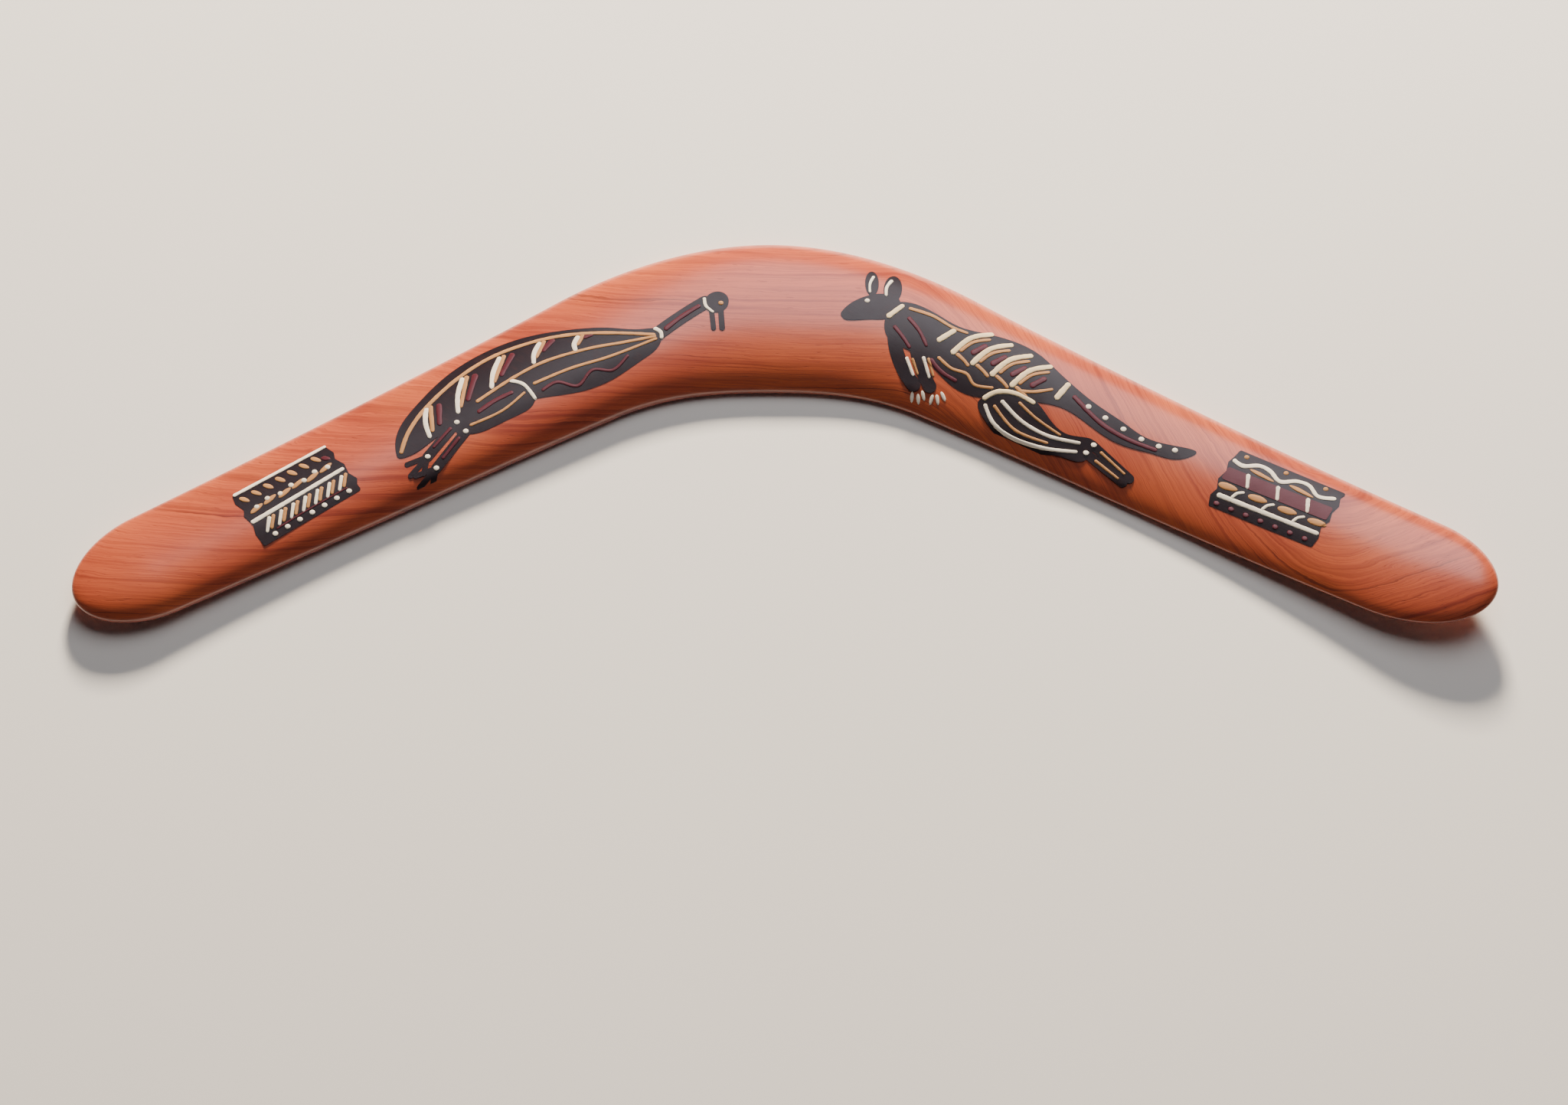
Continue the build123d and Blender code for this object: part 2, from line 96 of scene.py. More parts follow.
LEAST_LOAD, LOAD_SPREAD = 0.8, 0.4  # paint on the brush: the least share, and what varies
LOADS = 260.0  # changes of load in a metre
BEAD_SIDES, BEAD_RINGS = 20, 10
BEAD_SHAPE = (1.06, 0.97, 1.25)  # a dot's length, width and height against a stroke's


# --- Node trees as plain expressions ----------------------------------------------------------


class Value:
    """One output of a node. Sums and products of values add the maths nodes to the tree."""

    def __init__(self, recipe, socket):
        self.recipe = recipe
        self.socket = socket

    def of(self, name):
        """Another output of the same node."""
        return Value(self.recipe, self.socket.node.outputs[name])

    def __add__(self, other):
        return self.recipe.maths("ADD", self, other)

    def __radd__(self, other):
        return self.recipe.maths("ADD", other, self)

    def __sub__(self, other):
        return self.recipe.maths("SUBTRACT", self, other)

    def __rsub__(self, other):
        return self.recipe.maths("SUBTRACT", other, self)

    def __mul__(self, other):
        return self.recipe.maths("MULTIPLY", self, other)

    def __rmul__(self, other):
        return self.recipe.maths("MULTIPLY", other, self)

    def __truediv__(self, other):
        return self.recipe.maths("DIVIDE", self, other)

    def __rtruediv__(self, other):
        return self.recipe.maths("DIVIDE", other, self)

    def __neg__(self):
        return self.recipe.maths("MULTIPLY", self, -1)


class Recipe:
    """Builds one node tree, for a shape or for a finish."""

    def __init__(self, tree):
        self.tree = tree

    def add(self, kind, settings=None, sockets=None, output=0):
        """Adds a node: its settings first, then its socket values and links."""
        node = self.tree.nodes.new(kind)
        for name, value in (settings or {}).items():
            setattr(node, name, value)
        for name, value in (sockets or {}).items():
            if isinstance(value, Value):
                self.tree.links.new(value.socket, node.inputs[name])
            else:
                node.inputs[name].default_value = value
        return Value(self, node.outputs[output])

    def maths(self, operation, *values):
        return self.add("ShaderNodeMath", dict(operation=operation), dict(enumerate(values)))

    def least(self, a, b):
        return self.maths("MINIMUM", a, b)

    def most(self, a, b):
        return self.maths("MAXIMUM", a, b)

    def vector(self, operation, *values):
        return self.add("ShaderNodeVectorMath", dict(operation=operation), dict(enumerate(values)))

    def scaled(self, vector, factor):
        return self.add(
            "ShaderNodeVectorMath", dict(operation="SCALE"), {"Vector": vector, "Scale": factor},
        )

    def xyz(self, x, y, z):
        return self.add("ShaderNodeCombineXYZ", sockets={"X": x, "Y": y, "Z": z})

    def parts_of(self, vector):
        split = self.add("ShaderNodeSeparateXYZ", sockets={"Vector": vector})
        return split, split.of("Y"), split.of("Z")

    def ramp(self, value, low, high):
        """A smooth step from 0 to 1 as value goes from low to high."""
        return self.add(
            "ShaderNodeMapRange", dict(interpolation_type="SMOOTHSTEP"),
            {"Value": value, "From Min": low, "From Max": high},
        )

    def blend(self, factor, first, second):
        """A colour between two colours."""
        sockets = {0: factor, 6: first, 7: second}
        return self.add("ShaderNodeMix", dict(data_type="RGBA"), sockets, output=2)

    def noise(self, vector, scale=1.0, detail=2.0, roughness=0.5):
        return self.add(
            "ShaderNodeTexNoise",
            sockets={"Vector": vector, "Scale": scale, "Detail": detail, "Roughness": roughness},
        )

    def bump(self, strength, distance, height):
        sockets = {"Strength": strength, "Distance": distance, "Height": height}
        return self.add("ShaderNodeBump", sockets=sockets)

    def joined(self, *geometries):
        join = self.add("GeometryNodeJoinGeometry")
        for geometry in geometries:
            self.tree.links.new(geometry.socket, join.socket.node.inputs["Geometry"])
        return join

    def placed(self, geometry, spot):
        sockets = {"Geometry": geometry, "Position": spot}
        return self.add("GeometryNodeSetPosition", sockets=sockets)

    def merged(self, geometry, distance):
        sockets = {"Geometry": geometry, "Distance": distance}
        return self.add("GeometryNodeMergeByDistance", sockets=sockets)


# --- Shapes -----------------------------------------------------------------------------------


def shape_recipe(name, inputs):
    """A geometry tree with named inputs, and the values that come from them."""
    tree = bpy.data.node_groups.new(name, "GeometryNodeTree")
    tree.interface.new_socket("Geometry", in_out="INPUT", socket_type="NodeSocketGeometry")
    for label, kind in inputs.items():
        tree.interface.new_socket(label, in_out="INPUT", socket_type=f"NodeSocket{kind}")
    tree.interface.new_socket("Geometry", in_out="OUTPUT", socket_type="NodeSocketGeometry")
    recipe = Recipe(tree)
    start = recipe.add("NodeGroupInput")
    return recipe, start


def close_recipe(recipe, geometry, finish):
    """Smooths the shape, makes it real and gives it its finish."""
    smooth = recipe.add(
        "GeometryNodeSetShadeSmooth", sockets={"Geometry": geometry, "Shade Smooth": True},
    )
    realized = recipe.add("GeometryNodeRealizeInstances", sockets={"Geometry": smooth})
    coated = recipe.add(
        "GeometryNodeSetMaterial", sockets={"Geometry": realized, "Material": finish},
    )
    end = recipe.tree.nodes.new("NodeGroupOutput")
    recipe.tree.links.new(coated.socket, end.inputs["Geometry"])
    return recipe.tree


def grow(name, tree, values, carrier=None):
    """Runs a shape tree over a carrier mesh and keeps the result as a plain mesh object."""
    host = bpy.data.objects.new("host", carrier or bpy.data.meshes.new("carrier"))
    bpy.context.collection.objects.link(host)
    modifier = host.modifiers.new("grow", "NODES")
    modifier.node_group = tree
    for item in tree.interface.items_tree:
        if item.in_out == "INPUT" and item.name in values:
            modifier[item.identifier] = values[item.name]
    bpy.context.view_layer.update()
    grown = host.evaluated_get(bpy.context.evaluated_depsgraph_get())
    mesh = bpy.data.meshes.new_from_object(grown)
    bpy.data.objects.remove(host)
    piece = bpy.data.objects.new(name, mesh)
    bpy.context.collection.objects.link(piece)
    return piece


# What turns each size of a wing into metres or radians, or leaves a plain number as it is.
WING_SIZES = dict(
    side=1.0, sweep=radians(1), length=MM, root=MM, taper=1.0, lift=MM, lean=1.0, tip_bias=MM,
    outer_round=MM, inner_round=MM,
)


def wing_values(label, wing):
    return {f"{label} {size}": float(wing[size] * scale) for size, scale in WING_SIZES.items()}


def rounding(recipe, gap, radius):
    """Share of the full size left at a gap from the tip, for an elliptical end."""
    reach = recipe.most(1 - gap / radius, 0)
    return recipe.maths("SQRT", recipe.most(1 - reach * reach, 0))


def wing_surface(recipe, start, label):
    """One wing from the middle of the elbow to its tip, as an open-ended skin."""
    size = {name: start.of(f"{label} {name}") for name in WING_SIZES}
    net = recipe.add(
        "GeometryNodeMeshGrid",
        sockets={
            "Size X": 1.0, "Size Y": 1.0, "Vertices X": RINGS + 1, "Vertices Y": ROUND + 1,
        },
    )
    u, v, _ = recipe.parts_of(recipe.add("GeometryNodeInputPosition"))
    u = u + 0.5
    v = v + 0.5

    # Sections crowd towards the tip, where the outline turns fastest.
    gap = size["length"] * (1 - recipe.maths("SINE", u * (pi / 2)))
    along = size["length"] - gap
    soft = recipe.maths("SQRT", along * along + (SOFTENING * MM) ** 2) - SOFTENING * MM
    reach = along / (SWELL_REACH * MM)
    near_elbow = recipe.maths("EXPONENT", -(reach * reach))
    swell = (ELBOW_CHORD * MM - size["root"]) * near_elbow
    half_chord = (size["root"] - size["taper"] * soft + swell) / 2
    outer_share = rounding(recipe, gap, size["outer_round"])
    inner_share = rounding(recipe, gap, size["inner_round"])
    outer = size["tip_bias"] + (half_chord - size["tip_bias"]) * outer_share
    inner = size["tip_bias"] - (half_chord + size["tip_bias"]) * inner_share
    middle = (outer + inner) / 2
    half = (outer - inner) / 2
    crown = (CROWN * MM - CROWN_TAPER * soft) * outer_share
    skew = CREST_SKEW * size["lean"] * (1 - near_elbow)
    climb = recipe.most(along - LIFT_START * MM, 0) / (size["length"] - LIFT_START * MM)
    edge = EDGE_HEIGHT * MM + size["lift"] * climb * climb
    depth = (EDGE_HEIGHT + PLANED_OFF) * MM * outer_share
    turn_in = EDGE_ROUND * MM * outer_share

    # Once round the section: the crowned top, and then the lower part in three equal shares,
    # which are the inner corner, the flat and the outer corner.
    angle = recipe.least(v / TOP_SHARE, 1) * pi
    lower = recipe.most((v - TOP_SHARE) / (1 - TOP_SHARE), 0)
    inner_turn = recipe.least(lower * 3, 1) * (pi / 2)
    outer_turn = recipe.least((1 - lower) * 3, 1) * (pi / 2)
    across_flat = recipe.least(recipe.most(lower * 3 - 1, 0), 1)
    is_lower = recipe.maths("GREATER_THAN", v, TOP_SHARE)
    cosine = recipe.maths("COSINE", angle)
    top_t = middle + half * cosine
    top_z = edge + crown * recipe.maths("SINE", angle) * (1 + skew * cosine)
    inner_t = inner + turn_in * (1 - recipe.maths("COSINE", inner_turn))
    outer_t = outer - turn_in * (1 - recipe.maths("COSINE", outer_turn))
    low_t = inner_t + (outer_t - inner_t) * across_flat
    sink = recipe.least(recipe.maths("SINE", inner_turn), recipe.maths("SINE", outer_turn))
    low_z = recipe.most(edge - depth * sink, 0)
    t = top_t + (low_t - top_t) * is_lower
    z = top_z + (low_z - top_z) * is_lower

    bend = size["sweep"] * (ELBOW_RADIUS * MM)
    turn = recipe.least(along, bend) / (ELBOW_RADIUS * MM)
    straight = recipe.most(along - bend, 0)
    sine = recipe.maths("SINE", turn)
    cosine = recipe.maths("COSINE", turn)
    x = size["side"] * ((ELBOW_RADIUS * MM + t) * sine + straight * cosine)
    y = (ELBOW_RADIUS * MM + t) * cosine - ELBOW_RADIUS * MM - straight * sine
    return recipe.placed(net, recipe.xyz(x, y, z))


def carved_blade(finish):
    inputs = {"Finish": "Material"}
    for label in ("Left", "Right"):
        for size in WING_SIZES:
            inputs[f"{label} {size}"] = "Float"
    recipe, start = shape_recipe("carved blade", inputs)
    left = wing_surface(recipe, start, "Left")
    right = wing_surface(recipe, start, "Right")
    right = recipe.add("GeometryNodeFlipFaces", sockets={"Mesh": right})
    closed = recipe.merged(recipe.joined(left, right), SEAM * MM)

    # Shallow unevenness from the spokeshave, drawn out along x, on the crowned top only.
    place = recipe.add("GeometryNodeInputPosition")
    x, y, z = recipe.parts_of(place)
    stretched = recipe.xyz(x * FACETS_ALONG, y * FACETS_ACROSS, z * FACETS_ALONG)
    facets = recipe.noise(stretched, detail=1.0, roughness=0.4) - 0.5
    outward = recipe.add("GeometryNodeInputNormal")
    on_top = recipe.ramp(recipe.parts_of(outward)[2], SIDE_SLOPE, TOP_SLOPE)
    cut = recipe.scaled(outward, facets * on_top * (KNIFE_MARKS * MM))
    shaved = recipe.add("GeometryNodeSetPosition", sockets={"Geometry": closed, "Offset": cut})
    tree = close_recipe(recipe, shaved, start.of("Finish"))
    values = {"Finish": finish} | wing_values("Left", LEFT) | wing_values("Right", RIGHT)
    return grow("carved_blade", tree, values)


def brush_tree():
    """Loaded brush strokes and dots on the blade, grown from a carrier of edges and points.

    Each stroke is a chain of edges and each dot a lone point. The carrier's attributes are the
    half width of the mark, the length of its rounded or pointed end, and 1 for a dot.
    """
    recipe, start = shape_recipe(
        "brush marks",
        {
            "Blade": "Object", "Coat": "Object", "Field": "Object", "Base": "Float",
            "Rise": "Float", "Step": "Float", "Finish": "Material",
        },
    )
    surfaces = [
        recipe.add(
            "GeometryNodeObjectInfo", dict(transform_space="RELATIVE"),
            {"Object": start.of(label)}, output="Geometry",
        )
        for label in ("Blade", "Coat", "Field")
    ]
    below = recipe.joined(*surfaces)

    def stored(geometry, name, value, kind="FLOAT"):
        return recipe.add(
            "GeometryNodeStoreNamedAttribute", dict(data_type=kind),
            {"Geometry": geometry, "Name": name, "Value": value},
        )

    def named(name, kind="FLOAT"):
        return recipe.add("GeometryNodeInputNamedAttribute", dict(data_type=kind), {"Name": name})

    def height_under(spot):
        x, y, _ = recipe.parts_of(spot)
        hit = recipe.add(
            "GeometryNodeRaycast",
            sockets={
                "Target Geometry": below, "Source Position": recipe.xyz(x, y, CLEAR_ABOVE * MM),
                "Ray Direction": (0, 0, -1), "Ray Length": 2 * CLEAR_ABOVE * MM,
            },
        )
        return recipe.parts_of(hit.of("Hit Position"))[2]

    # The chain of edges becomes one smooth line, cut into short even steps.
    chain = recipe.add("GeometryNodeMeshToCurve", sockets={"Mesh": start.of("Geometry")})
    bowed = recipe.add(
        "GeometryNodeCurveSplineType", dict(spline_type="CATMULL_ROM"), {"Curve": chain},
    )
    path = recipe.add(
        "GeometryNodeResampleCurve", dict(mode="LENGTH"),
        {"Curve": bowed, "Length": start.of("Step")},
    )
    here = recipe.add("GeometryNodeInputPosition")
    ahead_x, ahead_y, _ = recipe.parts_of(recipe.add("GeometryNodeInputTangent"))
    whole = recipe.add("GeometryNodeSplineLength")
    done = recipe.add("GeometryNodeSplineParameter").of("Length")
    to_end = recipe.least(done, whole - done)
    taper = rounding(recipe, to_end, named("end"))
    shake = recipe.noise(here, scale=SHAKES, detail=1.0) - 0.5
    path = stored(path, "spot", here, "FLOAT_VECTOR")
    path = stored(path, "aside", recipe.xyz(-ahead_y, ahead_x, 0.0), "FLOAT_VECTOR")
    press = PRESS - done / whole * LIFT_OFF
    path = stored(path, "half", named("half") * taper * press * (1 + shake * HAND_SHAKE))
    path = stored(path, "taper", taper)

    # A low dome with its underside sunk into the coat below.
    ring = recipe.add(
        "GeometryNodeCurvePrimitiveCircle", sockets={"Resolution": DOME_SIDES, "Radius": 1.0},
    )
    ring_x, ring_y, _ = recipe.parts_of(here)
    ring = stored(ring, "across", ring_x)
    bow = recipe.maths("POWER", recipe.most(ring_y, 0.0), DOME_BOW)
    ring = stored(ring, "up", bow + recipe.least(ring_y, 0.0) * UNDERSIDE)
    skin = recipe.add(
        "GeometryNodeCurveToMesh",
        sockets={"Curve": path, "Profile Curve": ring, "Fill Caps": True},
    )
    sideways = recipe.scaled(named("aside", "FLOAT_VECTOR"), named("across") * named("half"))
    flat = recipe.vector("ADD", named("spot", "FLOAT_VECTOR"), sideways)
    flat_x, flat_y, _ = recipe.parts_of(flat)
    fullness = THIN_END + named("taper") * (1 - THIN_END)
    load = LEAST_LOAD + recipe.noise(flat, scale=LOADS, detail=1.0) * LOAD_SPREAD
    z = height_under(flat) + start.of("Base") + named("up") * fullness * load * start.of("Rise")
    strokes = recipe.merged(recipe.placed(skin, recipe.xyz(flat_x, flat_y, z)), SAME_POINT * MM)

    # A bead of paint on each lone point.
    lone = recipe.add(
        "GeometryNodeMeshToPoints",
        sockets={"Mesh": start.of("Geometry"), "Selection": named("dot")},
    )
    dot_x, dot_y, _ = recipe.parts_of(here)
    lone = recipe.placed(lone, recipe.xyz(dot_x, dot_y, height_under(here) + start.of("Base")))
    bead = recipe.add(
        "GeometryNodeMeshUVSphere",
        sockets={"Segments": BEAD_SIDES, "Rings": BEAD_RINGS, "Radius": 1.0},
    )
    long, wide, tall = BEAD_SHAPE
    half = named("half")
    bead_size = recipe.xyz(half * long, half * wide, start.of("Rise") * tall)
    dots = recipe.add(
        "GeometryNodeInstanceOnPoints",
        sockets={"Points": lone, "Instance": bead, "Scale": bead_size},
    )
    return close_recipe(recipe, recipe.joined(dots, strokes), start.of("Finish"))


# --- Drawing of the decoration ----------------------------------------------------------------
# The marks are laid out in the wing frames, as on the blank: x along the wing, y to the outer
# edge, from PAINT_ORIGIN. On the left wing x counts towards the elbow, so it is negative.


def curve(width, *points):
    """A stroke with round ends through the points."""
    points = [Vector(point) for point in points]
    first = points[0] + (points[0] - points[1]).normalized() * width / 2
    last = points[-1] + (points[-1] - points[-2]).normalized() * width / 2
    return dict(points=[first, *points[1:-1], last], half=width / 2, end=width / 2)


def line(start, end, width):
    return curve(width, start, end)


def leaf(x, y, length, width, turn=0):
    """A dab with pointed-oval ends, turned from x by turn degrees."""
    reach = Vector((cos(radians(turn)), sin(radians(turn)))) * length / 2
    spot = Vector((x, y))
    return dict(points=[spot - reach, spot + reach], half=width / 2, end=length / 2)


def dab(x, y, radius):
    """A round dot."""
    return dict(points=[Vector((x, y))], half=radius, end=radius)


def row(count, start, pitch):
    return [start + pitch * i for i in range(count)]


def wing_place(wing, spot=(0, 0), turn=0):
    """The place on the blade of a layout frame at spot in a wing's frame, turned by degrees."""
    origin = Matrix.Translation((*PAINT_ORIGIN, 0))
    swept = Matrix.Rotation(radians(-wing["side"] * wing["sweep"]), 4, "Z")
    return origin @ swept @ Matrix.Translation((*spot, 0)) @ Matrix.Rotation(radians(turn), 4, "Z")


def carrier_mesh(marks, place):
    """Edges and lone points for the brush tree."""
    spots, edges, halves, ends, dots = [], [], [], [], []
    for mark in marks:
        count = len(mark["points"])
        first = len(spots)
        for point in mark["points"]:
            spots.append(place @ point.to_3d() * MM)
            halves.append(mark["half"] * MM)
            ends.append(mark["end"] * MM)
            dots.append(1.0 if count == 1 else 0.0)
        edges += [(first + i, first + i + 1) for i in range(count - 1)]
    mesh = bpy.data.meshes.new("carrier")
    mesh.from_pydata(spots, edges, [])
    for name, values in (("half", halves), ("end", ends), ("dot", dots)):
        mesh.attributes.new(name, "FLOAT", "POINT").data.foreach_set("value", values)
    return mesh


BIRD_BARS = [
    ((-119.3, 9.4), (-122.4, 0.2)), ((-104.4, 13.6), (-110.6, 3.6)), ((-90.6, 14.6), (-97.2, 6.4)),
    ((-76.9, 13.0), (-81.4, 7.8)), ((-65.0, 8.8), (-67.6, 5.4)),
]
BIRD_KNEES = [(-112.6, 0.4), (-111.4, -3.7)]
BIRD_HEELS = [(-126.0, -5.8), (-125.2, -10.4)]


def bird_white():
    bars = [
        curve(1.7, top, ((top[0] + foot[0]) / 2 - 0.7, (top[1] + foot[1]) / 2 + 0.3), foot)
        for top, foot in BIRD_BARS
    ]
    thigh_arc = curve(1.3, (-90.8, 5.2), (-87.8, 2.0), (-86.8, -3.9))
    collar = curve(1.4, (-41.6, -0.4), (-40.6, -2.2), (-41.2, -4.0))
    throat = curve(1.1, (-22.6, 1.7), (-23.4, -0.9), (-22.4, -3.6))
    dots = [dab(x, y, 0.85) for x, y in BIRD_KNEES + BIRD_HEELS]
    return [*bars, thigh_arc, collar, throat, *dots]


def bird_ochre():
    back_line = curve(
        1.4, (-132.8, -0.6), (-127.6, 4.8), (-118.5, 10.2), (-105.0, 14.8), (-91.5, 16.4),
        (-77.0, 14.4), (-65.0, 10.3), (-54.0, 4.6), (-43.0, -2.0),
    )
    wing_line = curve(
        1.2, (-103.5, 3.9), (-90.0, 5.9), (-78.0, 6.2), (-64.0, 3.6), (-53.0, 0.2), (-43.0, -2.7),
    )
    breast_line = curve(1.1, (-84.6, 0.8), (-72.0, 0.0), (-59.0, -2.2), (-43.0, -3.6))
    thigh_line = curve(1.0, (-109.0, -2.6), (-98.0, -2.9), (-89.0, -0.6))
    shades = [
        line((top[0] + 1.6, top[1]), (foot[0] + 1.7, foot[1] + 1.4), 1.5) for top, foot in BIRD_BARS
    ]
    return [back_line, wing_line, breast_line, thigh_line, *shades, dab(-18.6, -2.2, 0.8)]


def bird_maroon():
    neck_stripe = curve(1.6, (-38.4, -1.9), (-32.0, -0.5), (-25.6, 0.2))
    ripple = curve(
        1.1, (-83.2, -2.6), (-78.0, -2.2), (-72.6, -6.4), (-66.0, -3.8), (-60.0, -6.8),
        (-53.8, -4.6),
    )
    thigh_stripe = curve(1.5, (-104.6, 0.4), (-98.5, 1.4), (-92.6, 1.4))
    shins = [line((-115.4, -0.6), (-122.8, -3.8), 1.1), line((-114.4, -4.8), (-121.8, -8.4), 1.1)]
    feathers = [
        line((top[0] + 4.2, top[1] - 0.9), (foot[0] + 4.8, foot[1] + 2.6), 1.9)
        for top, foot in BIRD_BARS
    ]
    return [neck_stripe, ripple, thigh_stripe, *shins, *feathers]


RIBS = 4
RIB_PITCH = 7.3
HOCK_DOTS = [(118.7, -8.4), (119.8, -5.1)]
TAIL_DOTS = [(112.7, 5.5), (119.2, 4.5), (126.0, 3.7), (132.6, 3.2), (138.6, 3.5), (143.8, 4.6)]
CLAW_LENGTH = 3.4
CLAWS = [
    (60.3, -16.2, -66), (62.4, -15.9, -58), (63.4, -14.3, -50),
    (66.3, -14.3, -79), (68.1, -13.5, -54), (69.3, -11.8, -38),
]


def rib_roots():
    return [(65.8 + RIB_PITCH * i, 2.6 - 0.5 * i) for i in range(RIBS)]


def kangaroo_cream():
    ribs = [curve(1.9, (x, y), (x + 2.8, y + 6.8), (x + 8.1, y + 11.2)) for x, y in rib_roots()]
    first_rib = line((59.9, 4.4), (62.6, 9.2), 1.9)
    rump_band = line((102.4, 3.9), (103.6, 9.2), 2.0)
    collar = line((41.6, 4.4), (43.8, 9.4), 1.8)
    thigh_arc = curve(1.6, (81.6, -6.6), (84.4, -3.0), (90.2, -0.9), (96.2, -1.2))
    return [*ribs, first_rib, rump_band, collar, thigh_arc]


def kangaroo_white():
    shank = [
        curve(1.2, (82.8, -8.6), (87.6, -12.6), (95.0, -14.2), (105.6, -13.0), (115.6, -9.6)),
        curve(1.2, (87.2, -5.2), (95.6, -8.2), (105.4, -8.8), (115.2, -6.6)),
    ]
    forearm = [line((53.2, -5.9), (57.4, -9.8), 1.1), line((58.0, -3.4), (62.4, -8.2), 1.1)]
    front_ear = curve(0.9, (30.7, 15.0), (30.9, 12.0), (32.2, 9.4))
    back_ear = curve(1.1, (36.6, 16.4), (36.3, 13.4), (37.4, 10.8))
    dots = [dab(32.9, 6.0, 0.8)]
    dots += [dab(x, y, 0.9) for x, y in HOCK_DOTS + TAIL_DOTS]
    return [*shank, *forearm, front_ear, back_ear, *dots]


def kangaroo_ochre():
    spine = curve(1.2, (46.6, 9.9), (54.0, 10.9), (61.4, 10.2), (66.6, 10.6))
    hooks = []
    for x, y in rib_roots():
        hooks.append(curve(1.3, (x + 1.6, y - 0.2), (x + 4.2, y - 1.0), (x + 6.0, y - 1.9)))
        hooks.append(curve(1.2, (x + 2.0, y + 1.6), (x + 4.2, y + 5.9), (x + 8.4, y + 9.2)))
    flank = curve(1.2, (90.6, 0.3), (95.0, 2.2), (99.6, 5.4))
    ripple = curve(1.1, (62.4, -1.2), (67.5, -2.6), (72.8, -2.1), (76.8, -4.2), (82.2, -2.6))
    shank = [
        curve(1.0, (85.6, -7.6), (95.0, -11.7), (106.0, -11.0)),
        curve(0.9, (92.4, -3.2), (99.4, -5.4), (108.6, -6.9)),
    ]
    forearm = [line((55.0, -5.4), (58.6, -8.9), 0.9), line((59.6, -3.0), (63.4, -7.2), 0.9)]
    shin = [line((123.0, -6.4), (132.6, -9.3), 0.9), line((122.6, -9.5), (131.4, -11.5), 0.9)]
    return [spine, *hooks, flank, ripple, *shank, *forearm, *shin]


def kangaroo_maroon():
    shoulder = [
        curve(1.3, (45.0, 1.8), (48.6, 0.0), (52.2, -2.2)),
        curve(1.3, (47.8, 6.6), (52.6, 4.2), (56.8, 0.8)),
    ]
    belly = curve(1.5, (60.6, -3.0), (65.0, -5.0), (70.4, -5.6))
    flank = [line((x + 5.8, y + 2.8), (x + 8.2, y + 6.4), 1.9) for x, y in rib_roots()]
    tail = curve(1.6, (107.4, 6.4), (118.0, 2.4), (128.0, 1.2), (138.0, 1.9))
    return [*shoulder, belly, *flank, tail]


def kangaroo_claws():
    return [leaf(x, y, CLAW_LENGTH, 1.2, turn) for x, y, turn in CLAWS]


PANEL_HALF = 16.5


def left_panel_white():
    top_line = line((-16.8, 10.6), (15.6, 10.0), 1.3)
    middle_line = line((-PANEL_HALF, -1.0), (PANEL_HALF, -0.3), 1.5)
    bars = [line((x, -2.5), (x - 2.7, -6.0), 1.2) for x in row(7, -11.4, 4.4)]
    return [top_line, middle_line, *bars]


def left_panel_dots():
    beads = [dab(x, 2.9 + 0.8 * (i % 2), 0.85) for i, x in enumerate(row(7, -12.9, 4.3))]
    foot_dots = [dab(x, -8.0, 0.85) for x in row(7, -12.4, 4.5)]
    return [*beads, *foot_dots]


def left_panel_ochre():
    dashes = [leaf(x, 7.4, 3.7, 1.7, -52) for x in row(7, -15.0, 4.35)]
    chain = [
        leaf(x, 2.5 + 0.5 * (i % 2), 5.0, 1.7, 12) for i, x in enumerate(row(6, -13.2, 5.1))
    ]
    shades = [line((x + 1.5, -2.5), (x - 0.9, -5.7), 1.2) for x in row(7, -11.4, 4.4)]
    return [*dashes, *chain, *shades]


def left_panel_maroon():
    thread = curve(0.6, (-11.0, -6.9), (0.0, -6.6), (14.6, -6.7))
    corner = leaf(14.0, 6.0, 3.2, 1.6, -40)
    return [thread, corner]


def right_panel_white():
    wave = curve(
        1.5, (-16.4, 6.2), (-13.4, 5.5), (-8.6, 7.7), (-4.8, 7.4), (-0.6, 5.3), (4.2, 7.6),
        (8.4, 7.8), (12.4, 5.4), (17.2, 6.8),
    )
    posts = [line((x, 3.1), (x + 1.2, -0.6), 1.3) for x in row(3, -10.6, 10.2)]
    base_line = line((-PANEL_HALF, -6.6), (PANEL_HALF, -6.3), 1.6)
    branches = [
        curve(1.0, (x, -5.6), (x + 0.9, -3.9), (x + 2.6, -2.9)) for x in row(3, -12.4, 10.3)
    ]
    return [wave, *posts, base_line, *branches]


def right_panel_ochre():
    stones = [leaf(x, -3.0, 6.4, 2.4, 4) for x in row(4, -15.0, 10.1)]
    hills = [leaf(x, 4.9, 8.6, 1.5, -6) for x in (-6.6, 6.8)]
    dots = [dab(x, 8.9, 0.8) for x in row(3, -13.4, 13.5)]
    return [*stones, *hills, *dots]


def right_panel_dots():
    return [dab(x, -9.2, 0.95) for x in row(7, -16.2, 5.0)]


# --- Finishes ---------------------------------------------------------------------------------


def finish_recipe(name):
    """A new material's recipe, its surface node and the place on the object in millimetres."""
    material = bpy.data.materials.new(name)
    material.use_nodes = True
    tree = material.node_tree
    tree.nodes.clear()
    recipe = Recipe(tree)
    surface = recipe.add("ShaderNodeBsdfPrincipled")
    end = tree.nodes.new("ShaderNodeOutputMaterial")
    tree.links.new(surface.socket, end.inputs["Surface"])
    place = recipe.scaled(recipe.add("ShaderNodeTexCoord").of("Object"), 1 / MM)
    return material, recipe, surface.socket.node, place


def coat(recipe, surface, constants, varying):
    """Sets the surface's constant sockets and links the ones that vary over it."""
    for name, value in constants.items():
        surface.inputs[name].default_value = value
    for name, value in varying.items():
        recipe.tree.links.new(value.socket, surface.inputs[name])


